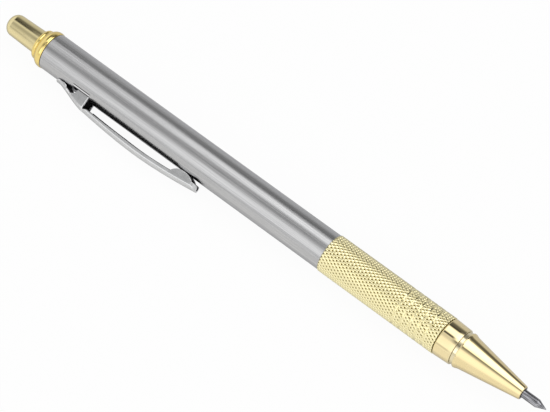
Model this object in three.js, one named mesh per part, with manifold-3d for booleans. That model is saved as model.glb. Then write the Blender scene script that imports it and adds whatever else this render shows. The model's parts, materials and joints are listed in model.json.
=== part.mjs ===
// An engraving pen: push button, knurled grip, clip, and a carbide point in a sprung three-jaw collet.
// Millimetres, +Z up. The pen lies along X with its point toward +X, rolled onto the edge of its clip.
// Every station below is a distance along the pen from the push button's end toward the point.

import * as THREE from "three";
import { mergeVertices } from "three/addons/utils/BufferGeometryUtils.js";
import Module from "manifold-3d";

const wasm = await Module();
wasm.setup();

// Clearances
const slideGap = 0.06; // radial, round a piece that slides
const pressGap = 0.03; // radial, between pieces pressed or screwed together
const faceGap = 0.04; // between faces that butt
const slotGap = 0.1; // each side of the clip's ears in the barrel's slot

// Lengths that show, in order from the push button to the point
const buttonReach = 8.7;
const collarLength = 3.05;
const barrelLength = 74.45;
const gripLength = 32.7;
const neckLength = 0.8;
const noseLength = 14.6;
const pointReach = 5.5;

const collarStart = buttonReach;
const barrelStart = collarStart + collarLength;
const gripStart = barrelStart + barrelLength;
const gripEnd = gripStart + gripLength;
const rimStart = gripEnd + neckLength;
const mouthEnd = rimStart + noseLength;
const penLength = mouthEnd + pointReach;

// Barrel
const barrelRadius = 4.1;
const barrelWall = 0.5;
const barrelBore = barrelRadius - barrelWall;
const barrelBreak = 0.1; // broken edge at each end

// Push button and its travel
const buttonRadius = 2.62;
const buttonNoseRadius = 2.45; // where the dome starts
const buttonDome = 1.9;
const buttonFlatRadius = 0.6;
const buttonSkirt = 10.6; // length that stays inside the collar
const buttonTravel = 3;

// Rear collar: a small bead, a cove and a large bead, on a spigot pressed into the barrel
const restRadius = 4.25; // collar and grip have one radius, so that the pen lies level
const lipRadius = 2.95;
const smallBeadRadius = 3.42;
const smallBeadLength = 0.62;
const coveRadius = 3.3;
const coveLength = 0.3;
const largeBeadLength = 1.45;
const collarSpigot = 7;

// Inner tube, its stop ring and the return spring
const tubeRadius = 2;
const tubeBore = 1.5;
const tubeOverlap = 8; // length of tube inside the button
const ringRadius = 2.8;
const ringLength = 1.6;
const springWire = 0.5;
const springRadius = 2.55; // to the middle of the wire
const springTurns = 9;
const springLength = 14.3;

// Knurled grip
const knurlDepth = 0.3;
const knurlAround = 34; // diamonds round the grip
const knurlPitch = 1.25; // diamond to diamond along the grip
const landLength = 4; // smooth end of the grip
const landEndRadius = 4;
const gripChamber = 2.95; // radius of the bore that holds the spring
const gripSpigotRadius = 2.75;
const gripSpigot = 7.9;
const ringRoom = 2.4; // chamber behind the stop ring
const ringGrooves = 5;
const ringGrooveRows = 3; // half pitches from one ring groove to the next
const ringGrooveWidth = 0.35;
const ringGrooveDepth = 0.38;
const ringGrooveInset = 4; // half pitches from the last ring groove to the knurl's end

// Joining bush, pressed into the barrel's front end and screwed onto the grip's spigot
const bushLength = 9;

// Collet seat and the socket that the nose cone screws into
const socketRadius = 3.3;
const socketDepth = 6.5;
const seatLength = 3.5;
const seatMouth = 2.42; // radius of the taper's wide end

// Collet
const colletShank = 1.95;
const colletSpigot = 5; // length inside the tube
const colletHead = 2.35;
const headTaper = 2.6; // length of the head's cone
const headBand = 0.8; // cylindrical band in front of the cone
const headNose = 0.6; // chamfer at the jaws' front
const jawSlits = 3;
const slitWidth = 0.35;
const slitLength = 9.5;
const shankSolid = 1.45; // unslit length in front of the tube

// Nose cone
const neckRadius = 3.45;
const rimRadius = 3.95;
const rimLength = 0.4;
const rimBevel = 0.7;
const coneRadius = 3.675; // where the long cone starts
const mouthRadius = 1.5;
const mouthLip = 0.25;
const cavityRadius = 2.6;
const jawRoom = 2.2; // left in front of the jaws when the button is pressed
const guideLength = 3.3; // bore that guides the rod, behind the mouth

// Carbide rod
const rodRadius = 0.9;
const rodLength = 32;
const rodPoint = 2.1; // length of the ground cone
const rodTipRadius = 0.05;
const rodBreak = 0.15;

// Clip, a bent strip of sheet, crowned across like the barrel that its tab lies on
const sheet = 0.4;
const clipWidth = 4.8; // over the ears
const tailWidth = 3.4;
const tabStart = 16.85;
const tabLength = 1.75;
const tabCorner = 1.25;
const slopeRun = 5.75; // from the tab to the knee
const kneeLift = 1.9; // gap under the strip there
const archRise = 15.35; // from the knee to the highest point
const archLift = 2.8; // gap under the highest point
const tailRun = 15.85; // from the highest point to the tail's end
const tailLift = 1.6; // gap under the tail's end
const tailRound = 1.6;
const earStart = 22.5;
const earLength = 2.95;
const toeLength = 0.9;
const toeHeight = 0.45;
const toeDrop = 0.6; // room over the toes for the clip to lift
const slotLead = 1.6; // slot behind the ears, for sliding the toes in
const flangeStart = 48.7; // two rounded flanges under the tail, which close on the barrel
const flangeLength = 5.7;
const foldCover = 0.08; // of the strip over the tops of its ears and flanges

// Smoothness
const wideSides = 32;
const narrowSides = 24;
const curveSteps = 3;
const crownSteps = 6; // across the clip's strip
const coilSteps = 12; // in one turn of the spring
const wireSides = 5;

// Stations that follow from the sizes above
const buttonEnd = collarStart + buttonSkirt;
const tubeStart = buttonEnd - tubeOverlap;
const socketStart = gripEnd - socketDepth;
const seatStart = socketStart + faceGap;
const seatEnd = seatStart + seatLength;
const noseStart = seatEnd + faceGap;
const springFront = seatStart - faceGap;
const springRear = springFront - springLength;
const ringStart = springRear - faceGap - ringLength;
const headStart = seatEnd - headTaper - faceGap;
const headFull = headStart + headTaper;
const colletFront = headFull + headBand + headNose;
const slitStart = colletFront - slitLength;
const tubeEnd = slitStart - shankSolid;
const colletStart = tubeEnd - colletSpigot;
const rodBore = rodRadius + slideGap;
const tubeSlide = tubeRadius + slideGap;
const clipSeat = barrelRadius + faceGap + sheet; // the tab's outer face over the pen's axis
const crown = clipSeat - Math.sqrt(clipSeat ** 2 - (clipWidth / 2) ** 2);
const earEnd = earStart + earLength;

// Looks, from the photograph
const brushedSteel = { color: 0xa9a9ac, roughness: 0.42, metalness: 1 };
const gold = { color: 0xd9bd72, roughness: 0.2, metalness: 1 };
const paleGold = { color: 0xd6c79a, roughness: 0.3, metalness: 1 };
const chrome = { color: 0xc9cacc, roughness: 0.12, metalness: 1 };
const plainSteel = { color: 0x9a9c9f, roughness: 0.4, metalness: 1 };
const springSteel = { color: 0x85878a, roughness: 0.35, metalness: 1 };
const brass = { color: 0xc2a052, roughness: 0.35, metalness: 1 };
const carbide = { color: 0x4a4a4d, roughness: 0.45, metalness: 1 };

// A geometry as a manifold solid, with coincident vertices merged and empty triangles dropped.
function toSolid(geometry) {
  const loose = geometry.index ? geometry.toNonIndexed() : geometry;
  const bare = new THREE.BufferGeometry().setAttribute("position", loose.getAttribute("position"));
  const merged = mergeVertices(bare, 1e-4);
  const corners = [];
  for (let i = 0; i < merged.index.count; i += 3) {
    const [a, b, c] = [0, 1, 2].map((k) => merged.index.getX(i + k));
    if (a !== b && b !== c && c !== a) corners.push(a, b, c);
  }
  const mesh = new wasm.Mesh({
    numProp: 3,
    vertProperties: merged.getAttribute("position").array,
    triVerts: new Uint32Array(corners),
  });
  return new wasm.Manifold(mesh);
}

// A manifold solid as a named mesh with its own material.
function toMesh(name, solid, look) {
  const { vertProperties, triVerts } = solid.getMesh();
  const geometry = new THREE.BufferGeometry()
    .setAttribute("position", new THREE.BufferAttribute(vertProperties, 3))
    .setIndex(new THREE.BufferAttribute(triVerts, 1));
  geometry.computeVertexNormals();
  const mesh = new THREE.Mesh(geometry, new THREE.MeshStandardMaterial(look));
  mesh.name = name;
  return mesh;
}

// A path starting at a station and radius, which turn() spins about the pen's axis.
function profile(station, radius) {
  return new THREE.Path().moveTo(station, radius);
}

// Turns a closed profile. A facet, not an edge, faces the ground, so that the pen rests on a flat.
function turn(path, sides = wideSides) {
  const points = path.closePath().getPoints(curveSteps).map((p) => new THREE.Vector2(p.y, p.x));
  const lathe = new THREE.LatheGeometry(points, sides, Math.PI / sides);
  return toSolid(lathe.rotateZ(-Math.PI / 2));
}

// A plain turned sleeve.
function sleeve(start, end, outer, inner, sides = wideSides) {
  const path = profile(start, inner);
  path.lineTo(start, outer);
  path.lineTo(end, outer);
  path.lineTo(end, inner);
  return turn(path, sides);
}

// A box between two stations, two heights and two sides.
function block(start, end, low, high, left, right) {
  const box = new THREE.BoxGeometry(end - start, high - low, right - left);
  return toSolid(box.translate((start + end) / 2, (low + high) / 2, (left + right) / 2));
}

function pushButton() {
  const socket = tubeRadius + pressGap;
  const path = profile(0, 0);
  path.lineTo(0, buttonFlatRadius);
  path.absellipse(
    buttonDome, buttonFlatRadius, buttonDome, buttonNoseRadius - buttonFlatRadius,
    Math.PI, Math.PI / 2, true,
  );
  path.lineTo(collarStart, buttonRadius);
  path.lineTo(buttonEnd, buttonRadius);
  path.lineTo(buttonEnd, socket);
  path.lineTo(tubeStart - faceGap, socket);
  path.lineTo(tubeStart - faceGap, 0);
  return turn(path);
}

function rearCollar() {
  const bore = buttonRadius + slideGap;
  const spigot = barrelBore - pressGap;
  const smallBeadEnd = collarStart + smallBeadLength;
  const coveEnd = smallBeadEnd + coveLength;
  const crest = coveEnd + largeBeadLength;
  const path = profile(collarStart, bore);
  path.lineTo(collarStart, lipRadius);
  path.quadraticCurveTo(collarStart, smallBeadRadius, smallBeadEnd, smallBeadRadius);
  path.quadraticCurveTo(smallBeadEnd + coveLength / 2, coveRadius, coveEnd, smallBeadRadius);
  path.quadraticCurveTo((coveEnd + crest) / 2, restRadius, crest, restRadius);
  path.quadraticCurveTo(barrelStart, restRadius, barrelStart - faceGap, barrelRadius);
  path.lineTo(barrelStart - faceGap, spigot);
  path.lineTo(barrelStart + collarSpigot, spigot);
  path.lineTo(barrelStart + collarSpigot, bore);
  return turn(path);
}

function barrel() {
  const path = profile(barrelStart, barrelBore);
  path.lineTo(barrelStart, barrelRadius - barrelBreak);
  path.lineTo(barrelStart + barrelBreak, barrelRadius);
  path.lineTo(gripStart - barrelBreak - faceGap, barrelRadius);
  path.lineTo(gripStart - faceGap, barrelRadius - barrelBreak);
  path.lineTo(gripStart - faceGap, barrelBore);
  const side = clipWidth / 2 + slotGap;
  const slotEnd = earEnd + slotGap;
  const slot = block(earStart - slotLead, slotEnd, 0, 2 * barrelRadius, -side, side);
  return turn(path).subtract(slot.rotate([THREE.MathUtils.radToDeg(clipTurn), 0, 0]));
}

function joiningBush() {
  const end = gripStart - faceGap;
  return sleeve(end - bushLength, end, barrelBore - pressGap, gripSpigotRadius + pressGap);
}

function innerTube() {
  return sleeve(tubeStart, tubeEnd, tubeRadius, tubeBore, narrowSides);
}

function springCollar() {
  return sleeve(ringStart, ringStart + ringLength, ringRadius, tubeRadius + pressGap, narrowSides);
}

// A compression spring, wound as one open helix.
class Helix extends THREE.Curve {
  constructor(radius, turns, start, length) {
    super();
    Object.assign(this, { radius, turns, start, length });
  }

  getPoint(t, target = new THREE.Vector3()) {
    const angle = 2 * Math.PI * this.turns * t;
    const station = this.start + this.length * t;
    return target.set(station, this.radius * Math.sin(angle), this.radius * Math.cos(angle));
  }
}

function capTube(geometry, steps, sides, curve) {
  const position = [...geometry.getAttribute("position").array];
  const index = [...geometry.index.array];
  for (const [ring, flip] of [[0, false], [steps, true]]) {
    const centre = curve.getPoint(ring / steps);
    const hub = position.length / 3;
    position.push(centre.x, centre.y, centre.z);
    for (let k = 0; k < sides; k++) {
      const a = ring * (sides + 1) + k;
      if (flip) index.push(hub, a + 1, a);
      else index.push(hub, a, a + 1);
    }
  }
  return new THREE.BufferGeometry()
    .setAttribute("position", new THREE.Float32BufferAttribute(position, 3))
    .setIndex(index);
}

function returnSpring() {
  const wire = springWire / 2;
  const helix = new Helix(springRadius, springTurns, springRear + wire, springLength - springWire);
  const steps = springTurns * coilSteps;
  const tube = new THREE.TubeGeometry(helix, steps, wire, wireSides, false);
  const solid = toSolid(capTube(tube, steps, wireSides, helix));
  const coilGap = (springLength - springWire) / springTurns - springWire;
  console.log("least gap between the spring's coils " + coilGap.toFixed(2) + " mm");
  return solid;
}

// A closed skin through rings of points round the axis, each ring { station, radii }.
// A cell's diagonal joins its two lower corners, so a knurl's valleys stay straight.
function skin(rings, around) {
  const position = [];
  for (const { station, radii } of rings) {
    for (let i = 0; i < around; i++) {
      const angle = (2 * Math.PI * (i + 0.5)) / around;
      position.push(station, -radii[i] * Math.sin(angle), radii[i] * Math.cos(angle));
    }
  }
  const index = [];
  for (let j = 0; j + 1 < rings.length; j++) {
    for (let i = 0; i < around; i++) {
      const next = (i + 1) % around;
      const [a, b] = [j * around + i, j * around + next];
      const [d, c] = [a + around, b + around];
      const throughA = rings[j].radii[i] + rings[j + 1].radii[next];
      const throughB = rings[j].radii[next] + rings[j + 1].radii[i];
      if (throughA < throughB) index.push(a, b, c, a, c, d);
      else index.push(a, b, d, b, c, d);
    }
  }
  const ends = [[0, true], [rings.length - 1, false]];
  for (const [ring, first] of ends) {
    const hub = position.length / 3;
    position.push(rings[ring].station, 0, 0);
    for (let i = 0; i < around; i++) {
      const [a, b] = [ring * around + i, ring * around + ((i + 1) % around)];
      if (first) index.push(hub, b, a);
      else index.push(hub, a, b);
    }
  }
  return new THREE.BufferGeometry()
    .setAttribute("position", new THREE.Float32BufferAttribute(position, 3))
    .setIndex(index);
}

// The knurl is two crossing sets of V grooves. On a grid of half pitches its points are peaks where row and
// column add up to an even number, and groove crossings elsewhere, so every diamond is a true pyramid.
function knurlRings() {
  const around = 2 * knurlAround;
  const root = restRadius - knurlDepth;
  const length = gripLength - landLength;
  const rows = Math.round(length / (knurlPitch / 2));
  const step = length / rows;
  const level = (station, radius) => ({ station, radii: new Array(around).fill(radius) });
  const radiiOf = (row) =>
    Array.from({ length: around }, (_, i) => ((i + row) % 2 === 0 ? restRadius : root));
  const shares = ringGrooveWidth / 2 / step;
  const between = (row, other) => {
    const [here, there] = [radiiOf(row), radiiOf(other)];
    const radii = here.map((r, i) => r + (there[i] - r) * shares);
    return { station: gripStart + step * (row + (other - row) * shares), radii };
  };
  const lastGroove = rows - ringGrooveInset;
  const grooves = Array.from({ length: ringGrooves }, (_, k) => lastGroove - k * ringGrooveRows);
  const rings = [level(gripStart, root - barrelBreak)];
  for (let row = 1; row < rows; row++) {
    const station = gripStart + step * row;
    if (!grooves.includes(row)) {
      rings.push({ station, radii: radiiOf(row) });
      continue;
    }
    rings.push(between(row, row - 1));
    rings.push(level(station, restRadius - ringGrooveDepth));
    rings.push(between(row, row + 1));
  }
  const landStart = gripEnd - landLength;
  rings.push(level(landStart, root));
  rings.push(level(landStart + knurlDepth, restRadius - knurlDepth / 4));
  rings.push(level(gripEnd - barrelBreak, landEndRadius));
  rings.push(level(gripEnd, landEndRadius - barrelBreak));
  return rings;
}

function knurledGrip() {
  const spigotStart = gripStart - gripSpigot;
  const chamberStart = ringStart - ringRoom;
  const body = toSolid(skin(knurlRings(), 2 * knurlAround));
  const spigot = sleeve(spigotStart, gripStart + 1, gripSpigotRadius, tubeSlide);
  const bore = profile(spigotStart - 1, 0);
  bore.lineTo(spigotStart - 1, tubeSlide);
  bore.lineTo(chamberStart, tubeSlide);
  bore.lineTo(chamberStart, gripChamber);
  bore.lineTo(socketStart, gripChamber);
  bore.lineTo(socketStart, socketRadius);
  bore.lineTo(gripEnd + 1, socketRadius);
  bore.lineTo(gripEnd + 1, 0);
  return body.add(spigot).subtract(turn(bore));
}

// The seat's taper lies just outside the collet's cone.
function colletSeat() {
  const outer = socketRadius - pressGap;
  const rearBore = colletShank + seatMouth - colletHead;
  const path = profile(seatStart, rearBore);
  path.lineTo(seatStart, outer);
  path.lineTo(seatEnd, outer);
  path.lineTo(seatEnd, seatMouth);
  path.lineTo(headStart, rearBore);
  return turn(path);
}

function collet() {
  const path = profile(colletStart, rodBore);
  path.lineTo(colletStart, tubeBore - pressGap);
  path.lineTo(tubeEnd + faceGap, tubeBore - pressGap);
  path.lineTo(tubeEnd + faceGap, colletShank);
  path.lineTo(headStart, colletShank);
  path.lineTo(headFull, colletHead);
  path.lineTo(headFull + headBand, colletHead);
  path.lineTo(colletFront, colletHead - headNose / 2);
  path.lineTo(colletFront, rodBore);
  let jaws = turn(path, narrowSides);
  const slit = block(slitStart, colletFront + 1, 0, 2 * colletHead, -slitWidth / 2, slitWidth / 2);
  for (let k = 0; k < jawSlits; k++) {
    jaws = jaws.subtract(slit.rotate([(360 / jawSlits) * k, 0, 0]));
  }
  return jaws;
}

function noseCone() {
  const cavityEnd = colletFront + buttonTravel + jawRoom;
  const bevelStart = rimStart + rimLength;
  const coneStart = bevelStart + rimBevel;
  const path = profile(noseStart, cavityRadius);
  path.lineTo(noseStart, socketRadius - pressGap);
  path.lineTo(gripEnd + faceGap, socketRadius - pressGap);
  path.lineTo(gripEnd + faceGap, neckRadius);
  path.lineTo(rimStart, neckRadius);
  path.lineTo(rimStart, rimRadius);
  path.lineTo(bevelStart, rimRadius);
  path.lineTo(coneStart, coneRadius);
  path.lineTo(mouthEnd - mouthLip, mouthRadius);
  path.quadraticCurveTo(mouthEnd, mouthRadius, mouthEnd, mouthRadius - mouthLip);
  path.lineTo(mouthEnd, rodBore);
  path.lineTo(mouthEnd - guideLength, rodBore);
  path.lineTo(cavityEnd, cavityRadius);
  return turn(path);
}

function carbideRod() {
  const start = penLength - rodLength;
  const path = profile(start, 0);
  path.lineTo(start, rodRadius - rodBreak);
  path.lineTo(start + rodBreak, rodRadius);
  path.lineTo(penLength - rodPoint, rodRadius);
  path.lineTo(penLength, rodTipRadius);
  path.lineTo(penLength, 0);
  return turn(path, narrowSides);
}

// The middle of the strip's outer face from the side: x is the station, y the height over the pen's axis.
function clipLine() {
  const tabEnd = tabStart + tabLength;
  const knee = tabEnd + slopeRun;
  const crest = knee + archRise;
  const end = crest + tailRun;
  const line = new THREE.Path().moveTo(tabStart, clipSeat);
  line.lineTo(tabEnd, clipSeat);
  line.bezierCurveTo(
    tabEnd + slopeRun * 0.4, clipSeat + kneeLift * 0.15,
    knee - slopeRun * 0.39, clipSeat + kneeLift * 0.79,
    knee, clipSeat + kneeLift,
  );
  line.bezierCurveTo(
    knee + archRise / 3, clipSeat + (kneeLift + archLift) / 2,
    crest - archRise / 3, clipSeat + archLift,
    crest, clipSeat + archLift,
  );
  line.bezierCurveTo(
    crest + tailRun / 3, clipSeat + archLift,
    crest + tailRun * 0.68, clipSeat + archLift * 0.5 + tailLift * 0.55,
    end, clipSeat + tailLift,
  );
  return line.getPoints(2 * curveSteps);
}

// The strip narrows from its ears to its tail's flanges.
function stripWidth(station) {
  const share = THREE.MathUtils.clamp((station - earEnd) / (flangeStart - earEnd), 0, 1);
  return THREE.MathUtils.lerp(clipWidth, tailWidth, share);
}

// A cross-section of the strip, which is the tab's section squeezed to the strip's width.
function sheetLoop(point) {
  const squeeze = stripWidth(point.x) / clipWidth;
  const z = Array.from({ length: crownSteps + 1 }, (_, k) => clipWidth * (k / crownSteps - 0.5));
  const drop = (radius, side) => radius - Math.sqrt(radius ** 2 - side ** 2);
  const height = (depth, side) => point.y - depth - drop(clipSeat - depth, side);
  const face = (depth) => z.map((side) => [point.x, height(depth, side), side * squeeze]);
  return [...face(0), ...face(sheet).reverse()];
}

// The whole strip before its ends are rounded, lofted through its cross-sections.
function clipSheet(points) {
  const loops = points.map(sheetLoop);
  const around = loops[0].length;
  const index = [];
  for (let j = 0; j + 1 < loops.length; j++) {
    for (let i = 0; i < around; i++) {
      const next = (i + 1) % around;
      const [a, b] = [j * around + i, j * around + next];
      index.push(a, b + around, a + around, a, b, b + around);
    }
  }
  const last = (loops.length - 1) * around;
  for (let i = 0; i < crownSteps; i++) {
    const opposite = around - 1 - i;
    const [a, b, c, d] = [i, i + 1, opposite - 1, opposite];
    index.push(a, c, b, a, d, c);
    index.push(last + a, last + b, last + c, last + a, last + c, last + d);
  }
  return toSolid(
    new THREE.BufferGeometry()
      .setAttribute("position", new THREE.Float32BufferAttribute(loops.flat(2), 3))
      .setIndex(index),
  );
}

// The strip's outline from above, with rounded corners on its tab and a rounded tail.
function clipOutline(end) {
  const half = clipWidth / 2;
  const round = end - tailRound;
  const outline = new THREE.Shape();
  outline.moveTo(tabStart + tabCorner, -half);
  outline.lineTo(round, -half);
  outline.absellipse(round, 0, tailRound, tailWidth / 2, -Math.PI / 2, Math.PI / 2, false);
  outline.lineTo(round, half);
  outline.lineTo(tabStart + tabCorner, half);
  outline.quadraticCurveTo(tabStart, half, tabStart, half - tabCorner);
  outline.lineTo(tabStart, tabCorner - half);
  outline.quadraticCurveTo(tabStart, -half, tabStart + tabCorner, -half);
  return outline;
}

function extrude(shape, depth) {
  const options = { depth, bevelEnabled: false, curveSegments: 2 * curveSteps };
  return new THREE.ExtrudeGeometry(shape, options);
}

// A plate of the clip's sheet, drawn from the side and set at one edge of the strip.
function sidePlate(shape, side, outside) {
  return toSolid(extrude(shape, sheet).translate(0, 0, side > 0 ? outside - sheet : -outside));
}

// An ear folded down through the slot, with a toe that hooks under the barrel's wall.
function clipEar(side, top) {
  const wallInside = Math.sqrt(barrelBore ** 2 - (clipWidth / 2) ** 2);
  const toeTop = wallInside - toeDrop;
  const toeBottom = toeTop - toeHeight;
  const shape = new THREE.Shape();
  shape.moveTo(earStart, toeTop);
  shape.quadraticCurveTo(earStart, toeBottom, earStart + toeHeight, toeBottom);
  shape.lineTo(earEnd + toeLength, toeBottom);
  shape.lineTo(earEnd + toeLength, toeTop);
  shape.lineTo(earEnd, toeTop);
  shape.lineTo(earEnd, top(earEnd));
  shape.lineTo(earStart, top(earStart));
  return sidePlate(shape, side, clipWidth / 2);
}

// A rounded flange folded down under the tail, whose lowest point closes on the barrel.
function clipFlange(side, top) {
  const half = flangeLength / 2;
  const flangeEnd = flangeStart + flangeLength;
  const inside = tailWidth / 2 - sheet;
  const foot = Math.sqrt(barrelRadius ** 2 - inside ** 2) + faceGap;
  const chord = top(flangeEnd);
  const shape = new THREE.Shape().moveTo(flangeStart, top(flangeStart));
  shape.absellipse(flangeStart + half, chord, half, chord - foot, Math.PI, 2 * Math.PI, false);
  return sidePlate(shape, side, tailWidth / 2);
}

function clip() {
  const points = clipLine();
  const outline = extrude(clipOutline(points.at(-1).x), 3 * barrelRadius).rotateX(-Math.PI / 2);
  const strip = clipSheet(points).intersect(toSolid(outline));
  const top = (station) => {
    const k = points.findIndex((p) => p.x >= station);
    const [p, q] = [points[k - 1], points[k]];
    return THREE.MathUtils.mapLinear(station, p.x, q.x, p.y, q.y) - crown - foldCover;
  };
  const plates = [1, -1].flatMap((side) => [clipEar(side, top), clipFlange(side, top)]);
  return plates.reduce((all, plate) => all.add(plate), strip);
}

// The knurl's lowest two peaks stand side by side.
const restHeight = restRadius * Math.cos(Math.PI / (2 * knurlAround));
// The clip rests on its edge, whose lowest point is level with the collar and the grip.
const edgeAngles = clipLine().map((p) => {
  const [height, side] = [p.y - crown, stripWidth(p.x) / 2];
  return Math.atan2(side, height) + Math.acos(restHeight / Math.hypot(height, side));
});
const clipAngle = Math.PI - Math.max(...edgeAngles); // from straight up, toward -Y
const clipTurn = clipAngle + Math.PI / 2;

const pen = new THREE.Group();
pen.name = "pen";
const clipFrame = new THREE.Group();
clipFrame.rotation.x = clipTurn;
clipFrame.add(toMesh("clip", clip(), chrome));
pen.add(
  toMesh("push_button", pushButton(), paleGold),
  toMesh("rear_collar", rearCollar(), gold),
  toMesh("barrel", barrel(), brushedSteel),
  clipFrame,
  toMesh("joining_bush", joiningBush(), brass),
  toMesh("inner_tube", innerTube(), plainSteel),
  toMesh("spring_collar", springCollar(), brass),
  toMesh("return_spring", returnSpring(), springSteel),
  toMesh("knurled_grip", knurledGrip(), paleGold),
  toMesh("collet_seat", colletSeat(), plainSteel),
  toMesh("collet", collet(), brass),
  toMesh("nose_cone", noseCone(), gold),
  toMesh("carbide_rod", carbideRod(), carbide),
);

// The part's origin is the middle of its footprint.
const root = new THREE.Group();
root.add(pen);
const bounds = new THREE.Box3().setFromObject(root, true);
const middle = bounds.getCenter(new THREE.Vector3());
pen.position.set(-middle.x, -middle.y, restHeight);

export default root;
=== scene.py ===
"""An engraving pen on a pale studio floor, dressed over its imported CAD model.

Lengths are millimetres unless a name says otherwise. A station is a distance along the pen from the push
button's end, and an angle goes round the pen's axis from straight up toward -Y.
"""

import json
import math

import bmesh
import bpy
import numpy as np
from mathutils import Matrix, Vector


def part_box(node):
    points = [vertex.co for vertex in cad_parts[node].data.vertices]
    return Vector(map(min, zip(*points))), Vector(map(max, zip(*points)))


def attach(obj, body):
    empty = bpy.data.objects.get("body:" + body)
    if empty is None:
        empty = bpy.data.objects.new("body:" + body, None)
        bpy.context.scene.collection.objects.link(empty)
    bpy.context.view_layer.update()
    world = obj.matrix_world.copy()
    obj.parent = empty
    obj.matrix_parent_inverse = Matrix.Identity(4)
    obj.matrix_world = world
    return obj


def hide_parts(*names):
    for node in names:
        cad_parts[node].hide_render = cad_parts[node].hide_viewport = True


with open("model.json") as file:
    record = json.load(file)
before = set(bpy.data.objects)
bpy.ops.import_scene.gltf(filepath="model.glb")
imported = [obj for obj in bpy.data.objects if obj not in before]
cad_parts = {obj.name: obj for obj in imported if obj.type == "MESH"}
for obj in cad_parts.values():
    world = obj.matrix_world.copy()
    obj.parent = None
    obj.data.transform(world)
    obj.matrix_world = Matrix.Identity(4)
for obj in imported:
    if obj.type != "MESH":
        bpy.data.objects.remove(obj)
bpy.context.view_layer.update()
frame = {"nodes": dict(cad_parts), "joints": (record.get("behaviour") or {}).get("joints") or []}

MM = 0.001
SIDES = 192  # columns round a turned piece
WELD_M = 2e-7  # points of a mesh closer than this become one
SLIVER_M = 1e-7  # edges and faces thinner than this are taken out

# Clearances, as in the CAD model
FACE_GAP = 0.04
PRESS_GAP = 0.03
SLIDE_GAP = 0.06

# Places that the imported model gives
button_box, collar_box, barrel_box, clip_box, grip_box, nose_box, rod_box = (
    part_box(name)
    for name in (
        "push_button", "rear_collar", "barrel", "clip", "knurled_grip", "nose_cone", "carbide_rod",
    )
)
pen_end = button_box[0].x
pen_axis = (barrel_box[0] + barrel_box[1]) / 2


def station_of(x):
    """The station of a place in metres along the frame's X."""
    return (x - pen_end) / MM


collar_start = station_of(collar_box[0].x)
barrel_start = station_of(barrel_box[0].x)
barrel_end = station_of(barrel_box[1].x)
grip_start = barrel_end + FACE_GAP
grip_end = station_of(grip_box[1].x)
mouth_end = station_of(nose_box[1].x)
rod_tip = station_of(rod_box[1].x)

# The clip's hinge lies across the strip, square to the direction in which the clip stands off the barrel
hinge = next(joint for joint in frame["joints"] if joint["name"] == "clip_flex")
clip_out = Vector(hinge["axis"]).cross(Vector((1, 0, 0))).normalized()
clip_side = Vector(hinge["axis"]).normalized()


# Meshes


def on_pen(station, radius, angle):
    """Points in metres from stations, radii and angles, which may be arrays that broadcast together."""
    station, radius, angle = np.broadcast_arrays(station, radius, angle)
    return np.stack(
        [
            pen_end + station * MM,
            pen_axis.y - radius * np.sin(angle) * MM,
            pen_axis.z + radius * np.cos(angle) * MM,
        ],
        axis=-1,
    )


def grid_faces(rows, columns, wrap_rows=False):
    """Quads of a grid of points whose columns close on themselves."""
    row = np.arange(rows if wrap_rows else rows - 1)[:, None]
    column = np.arange(columns)[None, :]
    below, beside = (row + 1) % rows, (column + 1) % columns
    corners = [
        row * columns + column,
        below * columns + column,
        below * columns + beside,
        row * columns + beside,
    ]
    return np.stack(corners, axis=-1).reshape(-1, 4).tolist()


def make_piece(name, points, faces, body, node, slot, material, sharp=40, others=(), marks=()):
    """One closed, smooth piece in place of a CAD node, whose edges stay sharp past an angle in degrees.

    Marks give the number of each face's material: 0 for the first, and from 1 for the others.
    """
    mesh = bpy.data.meshes.new(name)
    mesh.from_pydata(np.asarray(points).reshape(-1, 3).tolist(), [], faces)
    for face, mark in zip(mesh.polygons, marks):
        face.material_index = mark
    work = bmesh.new()
    work.from_mesh(mesh)
    bmesh.ops.remove_doubles(work, verts=work.verts, dist=WELD_M)
    bmesh.ops.dissolve_degenerate(work, edges=work.edges, dist=SLIVER_M)
    bmesh.ops.recalc_face_normals(work, faces=work.faces)
    work.to_mesh(mesh)
    work.free()
    mesh.shade_smooth()
    mesh.set_sharp_from_angle(angle=math.radians(sharp))
    mesh.materials.append(material)
    for other in others:
        mesh.materials.append(other)
    piece = bpy.data.objects.new(name, mesh)
    bpy.context.scene.collection.objects.link(piece)
    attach(piece, body)
    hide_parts(node)
    return piece


def rounded(corners, steps=4):
    """A closed outline through (station, radius, fillet) corners, with a curve over each fillet.

    A fillet takes up to half of each side that it joins.
    """
    outline = []
    for k, (station, radius, fillet) in enumerate(corners):
        here = np.array([station, radius])
        if not fillet:
            outline.append(here)
            continue
        ends = []
        for other in (corners[k - 1], corners[(k + 1) % len(corners)]):
            away = np.array(other[:2]) - here
            ends.append(here + away * min(fillet / np.linalg.norm(away), 0.5))
        for t in np.linspace(0, 1, steps + 1):
            outline.append((1 - t) ** 2 * ends[0] + 2 * t * (1 - t) * here + t**2 * ends[1])
    return np.array(outline)


def curve(start, control, end, steps=10):
    """Points after start on a quadratic curve, as plain corners."""
    t = np.linspace(0, 1, steps + 1)[1:, None]
    start, control, end = (np.array(p, float) for p in (start, control, end))
    points = (1 - t) ** 2 * start + 2 * t * (1 - t) * control + t**2 * end
    return [(x, r, 0) for x, r in points]


def turned(outline, sides=SIDES):
    """Points and quads of a closed outline spun round the pen's axis."""
    angles = np.arange(sides) * 2 * math.pi / sides
    points = on_pen(outline[:, :1], outline[:, 1:], angles[None, :])
    return points, grid_faces(len(outline), sides, wrap_rows=True)


# Pieces, whose sizes are the CAD model's apart from fillets, the knurl's fine form and the clip's folds

BUTTON_RADIUS = 2.62
BUTTON_NOSE = 2.45  # radius where the dome begins
BUTTON_FLAT = 0.6  # radius of its flat crown
BUTTON_DOME = 1.9  # the dome's length
BUTTON_SOCKET = 2.03
SOCKET_FLOOR = 11.26


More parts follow.
